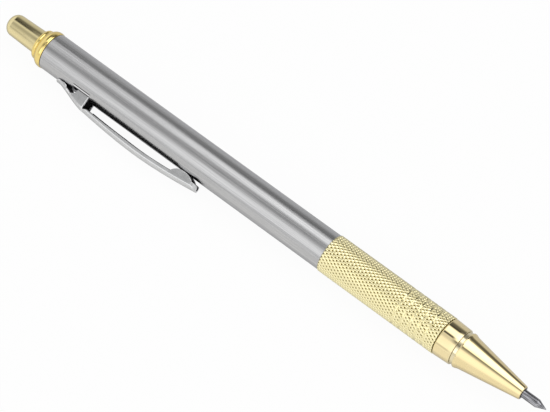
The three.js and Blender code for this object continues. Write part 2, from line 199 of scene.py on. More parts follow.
def push_button(material):
    """A dome with a small flat crown on a slightly tapered stem."""
    end = station_of(button_box[1].x)
    sweep = np.linspace(0, math.pi / 2, 15)
    dome = [
        (BUTTON_DOME * (1 - math.cos(a)), BUTTON_FLAT + (BUTTON_NOSE - BUTTON_FLAT) * math.sin(a), 0)
        for a in sweep
    ]
    corners = [
        (0, 0, 0), *dome,
        (collar_start, BUTTON_RADIUS, 0), (end, BUTTON_RADIUS, 0.15), (end, BUTTON_SOCKET, 0),
        (SOCKET_FLOOR, BUTTON_SOCKET, 0), (SOCKET_FLOOR, 0, 0),
    ]
    return make_piece(
        "domed_button", *turned(rounded(corners)), "clutch", "push_button", "button_gold", material,
    )


BARREL_RADIUS = 4.1
BARREL_BORE = 3.6
BARREL_BREAK = 0.1  # chamfer of its rims
REST_RADIUS = (grip_box[1].z - grip_box[0].z) / 2 / MM  # of the grip's worn peaks, on which the pen lies
COLLAR_BORE = BUTTON_RADIUS + SLIDE_GAP
COLLAR_LIP = 2.95  # radius of the flat face round the button
SMALL_BEAD = 3.42
SMALL_BEAD_LENGTH = 0.62
COVE_RADIUS = 3.3
COVE_LENGTH = 0.3
LARGE_BEAD_LENGTH = 1.45


def rear_collar(material):
    """A small bead, a cove and a large bead, with a spigot into the barrel."""
    bead = collar_start + SMALL_BEAD_LENGTH
    cove = bead + COVE_LENGTH
    crest = cove + LARGE_BEAD_LENGTH
    front = barrel_start - FACE_GAP
    spigot = BARREL_BORE - PRESS_GAP
    end = station_of(collar_box[1].x)
    corners = [
        (collar_start, COLLAR_BORE, 0.05), (collar_start, COLLAR_LIP, 0),
        *curve((collar_start, COLLAR_LIP), (collar_start, SMALL_BEAD), (bead, SMALL_BEAD)),
        *curve((bead, SMALL_BEAD), ((bead + cove) / 2, COVE_RADIUS), (cove, SMALL_BEAD)),
        *curve((cove, SMALL_BEAD), ((cove + crest) / 2, REST_RADIUS), (crest, REST_RADIUS), 14),
        *curve((crest, REST_RADIUS), (barrel_start, REST_RADIUS), (front, BARREL_RADIUS)),
        (front, spigot, 0), (end, spigot, 0.15), (end, COLLAR_BORE, 0),
    ]
    return make_piece(
        "beaded_collar", *turned(rounded(corners)), "holder", "rear_collar", "collar_gold", material,
    )


CLIP_WIDTH = 4.8
EAR_START = 22.5
EAR_LENGTH = 2.95
SLOT_GAP = 0.1  # between the clip's ears and the slot's sides and front
SLOT_HALF = CLIP_WIDTH / 2 + SLOT_GAP
SLOT_LEAD = 1.6  # how far the slot reaches behind the ears
SLOT_COLUMNS = 40
slot_start = EAR_START - SLOT_LEAD
slot_end = EAR_START + EAR_LENGTH + SLOT_GAP
clip_angle = math.atan2(-clip_out.y, clip_out.z)


def barrel(material):
    """The tube, whose columns line up with the slot's flat sides on both its faces."""
    outer = [
        (barrel_start, BARREL_RADIUS - BARREL_BREAK), (barrel_start + BARREL_BREAK, BARREL_RADIUS),
        (slot_start, BARREL_RADIUS), (slot_end, BARREL_RADIUS),
        (barrel_end - BARREL_BREAK, BARREL_RADIUS), (barrel_end, BARREL_RADIUS - BARREL_BREAK),
    ]
    inner = [(station, BARREL_BORE) for station in (barrel_end, slot_end, slot_start, barrel_start)]
    rear_out, front_out, front_in, rear_in = 2, 3, 7, 8  # the rows at the slot's two ends
    rows = []
    for station, radius in outer + inner:
        half = math.asin(SLOT_HALF / (BARREL_BORE if radius == BARREL_BORE else BARREL_RADIUS))
        over = np.linspace(-half, half, SLOT_COLUMNS + 1)
        rest = np.linspace(half, 2 * math.pi - half, SIDES - SLOT_COLUMNS + 1)[1:-1]
        rows.append(on_pen(station, radius, clip_angle + np.concatenate([over, rest])))
    faces = []
    for face in grid_faces(len(rows), SIDES, wrap_rows=True):
        row, column = divmod(face[0], SIDES)
        if row not in (rear_out, front_in) or column >= SLOT_COLUMNS:
            faces.append(face)
    for column in range(SLOT_COLUMNS):
        for outside, inside in ((rear_out, rear_in), (front_out, front_in)):
            a, b = outside * SIDES + column, inside * SIDES + column
            faces.append([a, a + 1, b + 1, b])
    for column in (0, SLOT_COLUMNS):
        faces.append([row * SIDES + column for row in (rear_out, front_out, front_in, rear_in)])
    return make_piece(
        "brushed_barrel", rows, faces, "holder", "barrel", "barrel_steel", material,
    )


KNURL_AROUND = 34  # diamonds round the grip
KNURL_DEPTH = 0.3
KNURL_PITCH = 1.25
KNURL_PIT_POWER = 3  # makes the pits narrow and the ridges broad
FINE = 12  # rows and columns to a knurl's pitch
LAND_LENGTH = 4
LAND_END_RADIUS = 4
RING_GROOVES = 5
RING_GROOVE_ROWS = 3  # half pitches from groove to groove
RING_GROOVE_INSET = 4  # half pitches from the foremost groove to the land
RING_GROOVE_WIDTH = 0.35
RING_GROOVE_FLAT = 0.72  # share of its width that is its flat floor
RING_GROOVE_DEPTH = 0.1
RING_SLIP = 0.16  # share of a pitch by which the knurl wanders near the ring grooves
RING_REACH = 1.5  # half pitches from a groove at which it stops wandering
SOCKET_RADIUS = 3.3
SOCKET_DEPTH = 6.5
CHAMBER_RADIUS = 2.95
CHAMBER_LENGTH = 18.4
TUBE_SLIDE = 2.06
GRIP_SPIGOT = 2.75
GRIP_BREAK = 0.15  # how far the grip's rear edge lies below the pits


def ridge(phase):
    """How high one set of rolled ridges stands, from 0 between two of them to 1 on one."""
    return (1 - np.cos(2 * math.pi * phase)) / 2


def knurl_rows():
    """Stations and radii of the knurl's fine grid: crossed ridges, narrow pits and flat ring grooves."""
    length = grip_end - LAND_LENGTH - grip_start
    half_pitches = round(length / (KNURL_PITCH / 2))
    step = length / half_pitches
    last = half_pitches - RING_GROOVE_INSET
    centres = np.array([last - k * RING_GROOVE_ROWS for k in range(RING_GROOVES)]) * step
    flat = RING_GROOVE_FLAT / 2
    cut = np.array([-0.5, -flat, -flat / 3, flat / 3, flat, 0.5]) * RING_GROOVE_WIDTH
    extra = (centres[:, None] + cut[None, :]).ravel()
    plain = np.arange(half_pitches * FINE // 2 + 1) * step * 2 / FINE
    plain = plain[[np.abs(extra - s).min() > RING_GROOVE_WIDTH / 8 for s in plain]]
    along = np.sort(np.concatenate([plain, extra]))
    column = np.arange(KNURL_AROUND * FINE) * 2 / FINE - 0.5
    row = along[:, None] / step
    near = np.abs(along[:, None] - centres[None, :]).min(axis=1)[:, None]
    ringed = np.clip(RING_REACH - near / step, 0, 1)
    # Waves that share no beat, so that the crumpled part repeats nowhere round the grip
    slip = RING_SLIP * ringed * np.sin(2.7 * column + 1.9 * row) * np.sin(0.9 * column - 2.3 * row)
    height = (ridge((column + row) / 2 + 0.5 + slip) + ridge((column - row) / 2 + 0.5 - slip)) / 2
    radii = REST_RADIUS - KNURL_DEPTH * (1 - height) ** KNURL_PIT_POWER
    inside = np.clip((0.5 - near / RING_GROOVE_WIDTH) / (0.5 - flat), 0, 1)
    radii = radii + inside * (REST_RADIUS - RING_GROOVE_DEPTH - radii)
    return grip_start + along, radii


def knurled_grip(material):
    """The knurl's grid, closed by the turned outline of the land, the bores and the rear spigot."""
    stations, radii = knurl_rows()
    land = grip_end - LAND_LENGTH
    rear = station_of(grip_box[0].x)
    socket = grip_end - SOCKET_DEPTH
    chamber = socket - CHAMBER_LENGTH
    corners = [
        (land, REST_RADIUS - KNURL_DEPTH, 0),
        (land + KNURL_DEPTH, REST_RADIUS - KNURL_DEPTH / 4, 0.1),
        (grip_end, LAND_END_RADIUS, 0.12), (grip_end, SOCKET_RADIUS, 0.05),
        (socket, SOCKET_RADIUS, 0), (socket, CHAMBER_RADIUS, 0),
        (chamber, CHAMBER_RADIUS, 0), (chamber, TUBE_SLIDE, 0),
        (rear, TUBE_SLIDE, 0), (rear, GRIP_SPIGOT, 0.15),
        (grip_start, GRIP_SPIGOT, 0), (grip_start, REST_RADIUS - KNURL_DEPTH - GRIP_BREAK, 0),
    ]
    plain = rounded(corners)
    columns = radii.shape[1]
    angle = (np.arange(columns) + FINE / 4) * 2 * math.pi / columns
    knurl = on_pen(stations[:, None], radii, angle[None, :])
    rest = on_pen(plain[:, :1], plain[:, 1:], angle[None, :])
    points = np.concatenate([knurl, rest])
    faces = grid_faces(len(points), columns, wrap_rows=True)
    return make_piece(
        "diamond_grip", points, faces, "holder", "knurled_grip", "grip_gold", material, sharp=50,
    )


NECK_LENGTH = 0.8
NECK_RADIUS = 3.72  # wider than the CAD model's, for the shallow notch that the photograph shows
RIM_RADIUS = 3.95
RIM_LENGTH = 0.4
RIM_BEVEL = 0.7
CONE_RADIUS = 3.675
MOUTH_RADIUS = 1.5
MOUTH_LIP = 0.25
ROD_BORE = 0.96
CAVITY_RADIUS = 2.6
CAVITY_LENGTH = 6.52
GUIDE_LENGTH = 3.3


def nose_cone(material):
    """A socketed spigot, the neck, the rim, and the long cone with a rounded lip at its mouth."""
    start = station_of(nose_box[0].x)
    neck = grip_end + FACE_GAP
    rim = grip_end + NECK_LENGTH
    bevel = rim + RIM_LENGTH
    cone = bevel + RIM_BEVEL
    corners = [
        (start, CAVITY_RADIUS, 0), (start, SOCKET_RADIUS - PRESS_GAP, 0.1),
        (neck, SOCKET_RADIUS - PRESS_GAP, 0), (neck, NECK_RADIUS, 0.05),
        (rim, NECK_RADIUS, 0.05), (rim, RIM_RADIUS, 0.14), (bevel, RIM_RADIUS, 0.16),
        (cone, CONE_RADIUS, 0.2), (mouth_end, MOUTH_RADIUS, MOUTH_LIP),
        (mouth_end, ROD_BORE, 0.08), (mouth_end - GUIDE_LENGTH, ROD_BORE, 0),
        (start + CAVITY_LENGTH, CAVITY_RADIUS, 0),
    ]
    return make_piece(
        "polished_nose", *turned(rounded(corners, 6)), "holder", "nose_cone", "nose_gold", material,
    )


ROD_RADIUS = 0.9
ROD_BREAK = 0.15
ROD_POINT = 2.1
ROD_TIP_RADIUS = 0.05
ROD_SIDES = 96


def carbide_point(material):
    """A plain rod with a ground cone, whose tip is slightly blunt."""
    start = station_of(rod_box[0].x)
    corners = [
        (start, 0, 0), (start, ROD_RADIUS, ROD_BREAK),
        (rod_tip - ROD_POINT, ROD_RADIUS, 0.06), (rod_tip, ROD_TIP_RADIUS, 0.03), (rod_tip, 0, 0),
    ]
    return make_piece(
        "ground_point", *turned(rounded(corners), ROD_SIDES), "point", "carbide_rod", "carbide",
        material, sharp=25,
    )


SHEET = 0.4  # the sheet's thickness
TAIL_WIDTH = 3.4
SEAT = BARREL_RADIUS + FACE_GAP + SHEET  # height of the strip's outer face where it lies on the barrel
CROWN = SEAT - math.sqrt(SEAT**2 - (CLIP_WIDTH / 2) ** 2)
TAB_LENGTH = 1.75
TAB_CORNER = 1.25
SLOPE_RUN = 5.75
KNEE_LIFT = 1.9
ARCH_RISE = 15.35
ARCH_LIFT = 2.78
TAIL_LIFT = 1.6
TAIL_ROUND = 1.6
EAR_FILLET = 0.5
EAR_REAR_FILLET = 1.9
SKIRT = 0.4, 1.1  # how far past the tab the strip keeps down to the barrel, and how it then runs out
FOLD_RADIUS = 0.3
FLANGE_START = 48.7
FLANGE_LENGTH = 5.7
WALL_INSIDE = math.sqrt(BARREL_BORE**2 - (CLIP_WIDTH / 2) ** 2)  # height of the barrel's bore at the ears
TOE_LENGTH = 0.9
TOE_HEIGHT = 0.45
TOE_DROP = 0.6  # from the barrel's bore to the toes
TOE_INSET = 0.02  # from the ear's faces
TOE_TOP = WALL_INSIDE - TOE_DROP
TOE_BOTTOM = TOE_TOP - TOE_HEIGHT
HEM = 0.66  # how far the long edges are folded down past the ears, and how that depth grows
HEM_START = 0.3
HEM_RISE = 0.035
HIGHLIGHT_RIM = 0.24  # width of the painted highlight along the edges of ears and flanges
EDGE_ROUND = 0.1  # how far the sheet's cut edge bulges
EDGE_STEPS = 4
STRIP_STEP = 0.4  # longest step between the strip's sections
TURN_POINTS, FLANGE_POINTS = 13, 41  # sections over a quarter turn of its outline, and over a flange
JUMP = 0.004  # step across a cut edge that lies square to the strip
FACE_POINTS, FOLD_POINTS, LEG_POINTS = 9, 9, 7  # across half a section
SHADED_INSIDE, CUT_HIGHLIGHT = 1, 2  # the clip's other materials: painted shade on the inner face, painted highlight on the cut edges
tab_start = station_of(clip_box[0].x)
clip_end = station_of(clip_box[1].x)
tab_end = tab_start + TAB_LENGTH
knee = tab_end + SLOPE_RUN
crest = knee + ARCH_RISE
ear_end = EAR_START + EAR_LENGTH


def cubic(points, steps=40):
    """Points on the cubic curve of four control points."""
    t = np.linspace(0, 1, steps)[:, None]
    a, b, c, d = (np.array(p, float) for p in points)
    return (1 - t) ** 3 * a + 3 * t * (1 - t) ** 2 * b + 3 * t**2 * (1 - t) * c + t**3 * d


def strip_line():
    """Stations of the strip's middle line, and how high its outer face stands over its seat.

    The curves' handles are shares of their runs and lifts, set against the photograph.
    """
    run = clip_end - crest
    slope = cubic([
        (tab_start + TAB_LENGTH * 0.4, 0), (tab_end + TAB_LENGTH * 0.4, KNEE_LIFT * 0.16),
        (knee - SLOPE_RUN * 0.39, KNEE_LIFT * 0.79), (knee, KNEE_LIFT),
    ])
    arch = cubic([
        (knee, KNEE_LIFT), (knee + ARCH_RISE / 3, (KNEE_LIFT + ARCH_LIFT) / 2),
        (crest - ARCH_RISE / 3, ARCH_LIFT), (crest, ARCH_LIFT),
    ])
    tail = cubic([
        (crest, ARCH_LIFT), (crest + run / 3, ARCH_LIFT),
        (crest + run * 0.68, ARCH_LIFT * 0.5 + TAIL_LIFT * 0.55), (clip_end, TAIL_LIFT),
    ])
    return np.concatenate([[(tab_start, 0)], slope, arch[1:], tail[1:]])


def strip_half(stations):
    """Half of the strip's width, which tapers from its ears to its tail's flanges."""
    share = np.clip((stations - ear_end) / (FLANGE_START - ear_end), 0, 1)
    return (CLIP_WIDTH + (TAIL_WIDTH - CLIP_WIDTH) * share) / 2


def tail_share(stations):
    """How much of the strip's width its round tail leaves, from 1 down to 0 at the clip's end."""
    past = np.clip((stations - clip_end + TAIL_ROUND) / TAIL_ROUND, 0, 1)
    return np.sqrt(1 - past**2)


def cut_half(stations):
    """Half of the strip's width where its corners are rounded."""
    rear = np.clip(tab_start + TAB_CORNER - stations, 0, TAB_CORNER)
    rounded_off = TAB_CORNER - np.sqrt(TAB_CORNER**2 - rear**2)
    return (strip_half(stations) - rounded_off) * tail_share(stations)


def leg_depths(stations, edge):
    """How far the strip is folded down past its plain edge: ears with fillets, flanges, hem and skirt."""
    outside = np.maximum(EAR_START - stations, stations - ear_end)
    round_off = np.where(stations < EAR_START, EAR_REAR_FILLET, EAR_FILLET)
    lean = np.clip(round_off - outside, 0, round_off)
    fillet = round_off - np.sqrt(round_off**2 - lean**2)
    ears = np.where(outside <= 0, edge - TOE_BOTTOM, fillet)
    foot = math.sqrt(BARREL_RADIUS**2 - (TAIL_WIDTH / 2 - SHEET) ** 2) + FACE_GAP
    half = FLANGE_LENGTH / 2
    share = np.clip((stations - FLANGE_START - half) / half, -1, 1)
    flanges = (edge - foot) * np.sqrt(1 - share**2)
    from_ear = stations - ear_end
    hem = np.minimum(HEM_START + HEM_RISE * from_ear, HEM) * np.clip(from_ear, 0, 1)
    hem = hem * tail_share(stations)
    closed, run_out = SKIRT
    skirt = (edge - edge[0]) * np.clip(1 - (stations - tab_end - closed) / run_out, 0, 1) ** 0.5
    return np.max([ears, flanges, hem, skirt], axis=0)


def strip_stations():
    """Stations of the strip's sections, close together where its outline turns."""
    turn = np.linspace(0, math.pi / 2, TURN_POINTS)
    bend = 1 - np.cos(turn)
    centre, half = FLANGE_START + FLANGE_LENGTH / 2, FLANGE_LENGTH / 2
    spans = [
        np.arange(tab_start + TAB_CORNER, clip_end - TAIL_ROUND, STRIP_STEP),
        tab_start + TAB_CORNER * bend,
        EAR_START - EAR_REAR_FILLET * bend, ear_end + EAR_FILLET * bend,
        [EAR_START - JUMP, EAR_START, ear_end - HIGHLIGHT_RIM, ear_end, ear_end + JUMP],
        centre + half * np.sin(np.linspace(-math.pi / 2, math.pi / 2, FLANGE_POINTS)),
        clip_end - TAIL_ROUND * (1 - np.sin(turn)),
    ]
    return np.unique(np.round(np.concatenate(spans), 4))


def strip_section(lift, half, cut, depth):
    """The sheet's middle surface in one section, from its centre to its edge: side, height and slope."""
    radius = (half**2 + CROWN**2) / (2 * CROWN) - SHEET / 2
    edge = math.asin(min(cut / (radius + SHEET / 2), 1))
    fold = math.asin(max(cut - SHEET / 2 - FOLD_RADIUS, 0) / (radius - FOLD_RADIUS))
    bend = min(max(depth / FOLD_RADIUS, 0), 1)
    plain = radius * fold
    folded = (1 - bend) * radius * (edge - fold) + bend * FOLD_RADIUS * (math.pi / 2 - fold)
    lost = radius * (1 - math.cos(fold)) + FOLD_RADIUS * math.cos(fold) - CROWN
    leg = max(depth - lost, 0) * bend
    along = np.concatenate([
        np.linspace(0, plain, FACE_POINTS),
        plain + np.linspace(0, folded, FOLD_POINTS)[1:],
        plain + folded + np.linspace(0, leg, LEG_POINTS)[1:],
    ])
    along = np.minimum(along, max(along[-1] - EDGE_ROUND, 0))

    def slope(u):
        over = np.clip((u - plain) / max(folded, 1e-9), 0, 1)
        folding = fold + over * (math.pi / 2 - fold)
        return np.where(u < plain, u / radius, (1 - bend) * np.minimum(u / radius, edge) + bend * folding)

    between = (along[1:] + along[:-1]) / 2
    length = np.diff(along)
    side = np.concatenate([[0], np.cumsum(np.cos(slope(between)) * length)])
    drop = np.concatenate([[0], np.cumsum(np.sin(slope(between)) * length)])
    return side, SEAT - SHEET / 2 + lift - drop, slope(along)


def sheet_loop(section, thickness, bulge):
    """A closed loop round the sheet: outer face, one rounded edge, inner face, the other edge."""
    side, height, slope = section
    across = np.stack([side, height], -1)
    normal = np.stack([np.sin(slope), np.cos(slope)], -1)
    outer = across + normal * thickness / 2
    inner = across - normal * thickness / 2
    tangent = np.array([math.cos(slope[-1]), -math.sin(slope[-1])])
    turn = np.linspace(0, math.pi, EDGE_STEPS + 2)[1:-1, None]
    edge = across[-1] + np.cos(turn) * normal[-1] * thickness / 2 + np.sin(turn) * tangent * bulge
    right = np.concatenate([outer, edge, inner[::-1]])
    left = right[::-1][1:-1] * [-1, 1]
    return np.concatenate([right, left])


def clip_points(stations, loops):
    """Loops of side and height over the axis as points in metres."""
    out, side = np.array(clip_out), np.array(clip_side)
    base = np.array([pen_end, pen_axis.y, pen_axis.z])
    along = np.array([1.0, 0, 0])
    return [
        base + (station * along + loop[:, :1] * side + loop[:, 1:] * out) * MM
        for station, loop in zip(stations, loops)
    ]


def toes(first):
    """The two hooks under the barrel's wall, each a small bar from its ear, as points and faces.

    The faces number the points from the first that is given.
    """
    ends = ear_end - SHEET, ear_end + TOE_LENGTH
    points, faces = [], []
    for sign in (-1, 1):
        near, far = sign * (CLIP_WIDTH / 2 - SHEET + TOE_INSET), sign * (CLIP_WIDTH / 2 - TOE_INSET)
        loop = np.array([[near, TOE_TOP], [far, TOE_TOP], [far, TOE_BOTTOM], [near, TOE_BOTTOM]])
        base = first + len(points)
        points += [p for ring in clip_points(ends, [loop, loop]) for p in ring]
        faces += [[base + i for i in quad] for quad in grid_faces(2, 4)]
        faces += [[base + i for i in (0, 1, 2, 3)], [base + i for i in (4, 5, 6, 7)]]
    return points, faces


def clip_marks(stations, columns, run):
    """Which material each face of the strip has. A run is the number of points across half a section."""
    marks = []
    for start, end in zip(stations, stations[1:]):
        across = end - start < 2 * JUMP or ear_end - HIGHLIGHT_RIM <= start < ear_end
        hemmed = ear_end < start < FLANGE_START + HIGHLIGHT_RIM
        rim = run - 2 if start >= FLANGE_START else run - 1
        shaded = run + EDGE_STEPS + 1 if hemmed else run - 1
        for column in range(columns):
            from_inside = abs(column + 0.5 - columns / 2)
            # Cut edges and the ears' front rims take the painted highlight, the inner face the painted
            # shade
            edge = rim < from_inside < run + EDGE_STEPS and not hemmed
            marks.append(CUT_HIGHLIGHT if across or edge else SHADED_INSIDE if from_inside < shaded else 0)
    return marks


def spring_clip(material, inside, cut):
    """The bent strip from sections of its sheet, with both its ends rounded, and the toes on its ears."""
    stations = strip_stations()
    line = strip_line()
    lifts = np.interp(stations, line[:, 0], line[:, 1])
    depths = leg_depths(stations, SEAT - SHEET / 2 - CROWN + lifts)
    sections = [
        strip_section(*values)
        for values in zip(lifts, strip_half(stations), cut_half(stations), depths)
    ]
    turn = np.linspace(0, math.pi / 2, 4)[1:]
    head, tail = (
        [sheet_loop(section, SHEET * math.cos(a), EDGE_ROUND * math.cos(a)) for a in turn]
        for section in (sections[0], sections[-1])
    )
    loops = head[::-1] + [sheet_loop(section, SHEET, EDGE_ROUND) for section in sections] + tail
    inset = EDGE_ROUND * (1 - np.sin(turn))
    stations = np.concatenate([
        tab_start + inset[::-1], [tab_start + EDGE_ROUND], stations[1:-1],
        [clip_end - EDGE_ROUND], clip_end - inset,
    ])
    points = np.concatenate(clip_points(stations, loops))
    columns, run = len(loops[0]), len(sections[0][0])
    toe_points, toe_faces = toes(len(points))
    return make_piece(
        "spring_clip", np.concatenate([points, toe_points]), grid_faces(len(loops), columns) + toe_faces,
        "clip", "clip", "clip_chrome", material,
        # The other materials: painted shade on the inner face, painted highlight on the cut edges
        others=(inside, cut), marks=clip_marks(stations, columns, run),
    )


# Materials


class Wire:
    """A node's output socket. Arithmetic on it adds Math nodes, or Vector Math nodes for a vector."""

    def __init__(self, graph, socket):
        self.graph = graph
        self.socket = socket

    def _with(self, operation, first, second):
        if self.socket.type == "VECTOR":
            kind = "ShaderNodeVectorMath"
            first, second = (
                (value,) * 3 if isinstance(value, (int, float)) else value for value in (first, second)
            )
        else:
            kind = "ShaderNodeMath"
        return self.graph.node(kind, {"operation": operation}, {0: first, 1: second})

    def __add__(self, other):
        return self._with("ADD", self, other)

    def __radd__(self, other):
        return self._with("ADD", other, self)

    def __sub__(self, other):
        return self._with("SUBTRACT", self, other)

    def __rsub__(self, other):
        return self._with("SUBTRACT", other, self)

    def __mul__(self, other):
        return self._with("MULTIPLY", self, other)

    def __rmul__(self, other):
        return self._with("MULTIPLY", other, self)

    def __truediv__(self, other):
        return self._with("DIVIDE", self, other)


class Graph:
    """A node tree to which nodes are added one at a time."""

    def __init__(self, owner):
        owner.use_nodes = True
        self.tree = owner.node_tree
        self.tree.nodes.clear()

    def node(self, kind, settings=None, sockets=None, output=0):
        """Adds a node of a type, with its settings first and then its sockets' values or links."""
        made = self.tree.nodes.new(kind)
        for name, value in (settings or {}).items():
            if name == "stops":
                self._set_stops(made.color_ramp, value)
            else:
                setattr(made, name, value)
        for key, value in (sockets or {}).items():
            if isinstance(value, Wire):
                self.tree.links.new(value.socket, made.inputs[key])
            else:
                made.inputs[key].default_value = value
        return Wire(self, made.outputs[output]) if made.outputs else None

    @staticmethod
    def _set_stops(ramp, stops):
        """Gives a ramp its grey stops, each a place from 0 to 1 and a level."""
        while len(ramp.elements) < len(stops):
            ramp.elements.new(1)
        for element, (place, level) in zip(ramp.elements, stops):
            element.position = place
            element.color = (level, level, level, 1)

    def place(self, *stretch):
        """The piece's own coordinates in millimetres from the pen's axis, each stretched by a factor."""
        here = self.node("ShaderNodeTexCoord", output="Object")
        centred = here - (0.0, pen_axis.y, pen_axis.z)
        return centred * tuple(factor / MM for factor in stretch)

    def noise(self, stretch, detail=2.0, roughness=0.5, distortion=0.0):
        """Smooth noise from 0 to 1 whose grains are about as long as each factor's inverse."""
        sockets = {
            "Vector": self.place(*stretch), "Scale": 1.0, "Detail": detail, "Roughness": roughness,
            "Distortion": distortion,
        }
        return self.node("ShaderNodeTexNoise", {"noise_dimensions": "3D"}, sockets)

    def ramp(self, wire, *stops):
        """The grey level of the stops at the wire's value."""
        return self.node("ShaderNodeValToRGB", {"stops": stops}, {"Fac": wire})

    def blend(self, factor, first, second):
        """A colour between two colours."""
        sockets = {0: factor, 6: _colour(first), 7: _colour(second)}
        return self.node("ShaderNodeMix", {"data_type": "RGBA"}, sockets, output=2)

    def limit(self, wire, low, high):
        """A wire carried from low and high to 0 and 1, and kept between them."""
        sockets = {0: wire, 1: low, 2: high, 3: 0.0, 4: 1.0}
        return self.node("ShaderNodeMapRange", {"clamp": True}, sockets)

    def along(self):
        """The station of the surface."""
        return self.node("ShaderNodeSeparateXYZ", None, {0: self.place(1, 1, 1)}) - pen_end / MM

    def axis_distance(self):
        """Millimetres from the pen's axis."""
        return self.node(
            "ShaderNodeVectorMath", {"operation": "LENGTH"}, {0: self.place(0, 1, 1)}, output="Value",
        )

    def clip_height(self):
        """Millimetres from the pen's axis toward the clip."""
        return self.node(
            "ShaderNodeVectorMath", {"operation": "DOT_PRODUCT"},
            {0: self.place(0, 1, 1), 1: tuple(clip_out)}, output="Value",
        )

    def metal(self, colour, roughness, bump, bump_strength, bump_depth):
        """A metal surface whose bump is a height from 0 to 1 that stands for a depth in millimetres."""
        normal = self.node(
            "ShaderNodeBump", None,
            {"Strength": bump_strength, "Distance": bump_depth * MM, "Height": bump},
        )
        surface = self.node(
            "ShaderNodeBsdfPrincipled", None,
            {"Base Color": colour, "Roughness": roughness, "Metallic": 1.0, "Normal": normal},
        )
        self.node("ShaderNodeOutputMaterial", None, {"Surface": surface})


def _colour(value):
    """A wire as it is, and a colour of three numbers with its alpha."""
    return value if isinstance(value, Wire) else (*value, 1.0)


def material(name):
    """A new material and the graph to build it with."""
    made = bpy.data.materials.new(name)
    return made, Graph(made)


# A painted highlight beside the slot, between two dark lines of painted shade: heights toward the clip, and
# how they fade
SHADE_LINE_FOOT, HIGHLIGHT_FOOT, HIGHLIGHT_TOP = 2.64, 2.84, 3.06
SLOT_PAINT_SOFT = 0.04
SLOT_PAINT_REAR_FADE, SLOT_PAINT_FRONT_FADE = 0.4, 0.3


def brushed_steel():
    """Long fine grain along the barrel, and a painted highlight between lines of painted shade beside the
    slot.
    """
    made, g = material("brushed_steel")
    grain = g.noise((0.05, 8, 8), detail=4, roughness=0.8)
    broad = g.noise((0.015, 1.6, 1.6), detail=2)
    wear = g.noise((0.35, 0.35, 0.35), detail=3)
    colour = g.blend(g.limit(grain, 0.3, 0.7), (0.40, 0.40, 0.405), (0.64, 0.64, 0.645))
    over_foot, over_highlight, over_highlight_top = (
        g.limit(g.clip_height(), height - SLOT_PAINT_SOFT, height + SLOT_PAINT_SOFT)
        for height in (SHADE_LINE_FOOT, HIGHLIGHT_FOOT, HIGHLIGHT_TOP)
    )
    begun = g.limit(g.along(), slot_start, slot_start + SLOT_PAINT_REAR_FADE)
    ended = g.limit(g.along(), ear_end, ear_end + SLOT_PAINT_FRONT_FADE)
    # Painted shade and highlight: this bead is colour only, a bright band between dark lines along the
    # slot's edge
    bead = g.blend(over_highlight * (1 - over_highlight_top), (0.08, 0.08, 0.085), (0.88, 0.88, 0.89))
    colour = g.blend(over_foot * begun * (1 - ended), colour, bead)
    roughness = 0.17 + 0.08 * grain + 0.04 * broad + 0.04 * wear
    g.metal(colour, roughness, bump=grain, bump_strength=0.2, bump_depth=0.004)
    return made


PALE_GOLD = (0.84, 0.75, 0.50)  # where two gold faces mirror each other and would look orange
# Painted shade on the nose's mouth, round the rod
MOUTH_SHADE = (0.10, 0.07, 0.03)


def polished_gold(name, bright, deep, roughness, rings, mouth=False):
    """Plating over a turned piece: faint turning rings, cloudy polish and small hairline scratches.

    A mouth is a dark ring of painted shade on the nose's face round its bore. The neck behind is pale.
    """
    made, g = material(name)
    turning = g.noise((14, 0.15, 0.15), detail=2)
    cloud = g.noise((0.5, 0.5, 0.5), detail=3)
    hairs = g.limit(g.noise((0.7, 6, 6), detail=4, roughness=0.8, distortion=1.2), 0.62, 0.75)
    colour = g.blend(cloud, deep, bright)
    if mouth:
        # Painted shade: a dark ring on the mouth's face round the bore
        face = g.limit(g.along(), mouth_end - 0.12, mouth_end - 0.05)
        bore = g.limit(g.axis_distance(), MOUTH_RADIUS - 0.1, MOUTH_RADIUS - 0.2)
        colour = g.blend(face * bore, colour, MOUTH_SHADE)
        neck = g.limit(g.along(), grip_end + NECK_LENGTH + 0.1, grip_end + NECK_LENGTH)
        colour = g.blend(neck, colour, PALE_GOLD)
    g.metal(
        colour, roughness + 0.05 * cloud + 0.04 * hairs + rings * turning,
        bump=turning, bump_strength=0.05, bump_depth=0.002,
    )
    return made


def knurled_gold():
    """Plating that is bright on the worn peaks, dull in the pits and dark brown there with painted shade,
    and a polished land.
    """
    made, g = material("knurled_gold")
    depth = REST_RADIUS - g.axis_distance()
    stain = g.noise((0.9, 0.9, 0.9), detail=3)
    grit = g.noise((18, 18, 18), detail=2)
    # Painted shade: the pits are coloured dark brown, where shade falls in them
    low = g.blend(stain, (0.15, 0.11, 0.03), (0.28, 0.20, 0.06))
    high = g.blend(stain, (0.94, 0.85, 0.48), (0.98, 0.90, 0.56))
    land_start = grip_end - LAND_LENGTH
    land = g.limit(g.along(), land_start + 0.15, land_start + 0.35)
    pits = g.limit(depth, KNURL_DEPTH * 0.34, KNURL_DEPTH * 0.74) * (1 - land)
    smooth = g.blend(stain, (0.91, 0.76, 0.43), (0.94, 0.80, 0.47))
    lip = g.limit(g.along(), grip_end - 0.15, grip_end - 0.08)
    smooth = g.blend(lip, smooth, PALE_GOLD)
    colour = g.blend(land, g.blend(pits, high, low), smooth)
    worked = 0.04 + 0.10 * pits + 0.04 * grit + 0.03 * stain
    g.metal(
        colour, worked * (1 - land) + (0.04 + 0.02 * stain) * land,
        bump=grit * (1 - land), bump_strength=0.12, bump_depth=0.01,
    )
    return made


def chrome():
    """Bright plating over bent sheet, with faint rolling lines along the strip."""
    made, g = material("clip_chrome")
    rolling = g.noise((0.08, 7, 7), detail=2)
    cloud = g.noise((0.6, 0.6, 0.6), detail=3)
    colour = g.blend(cloud, (0.60, 0.605, 0.61), (0.72, 0.725, 0.73))
    g.metal(
        colour, 0.17 + 0.08 * cloud + 0.06 * rolling,
        bump=rolling, bump_strength=0.08, bump_depth=0.003,
    )
    return made


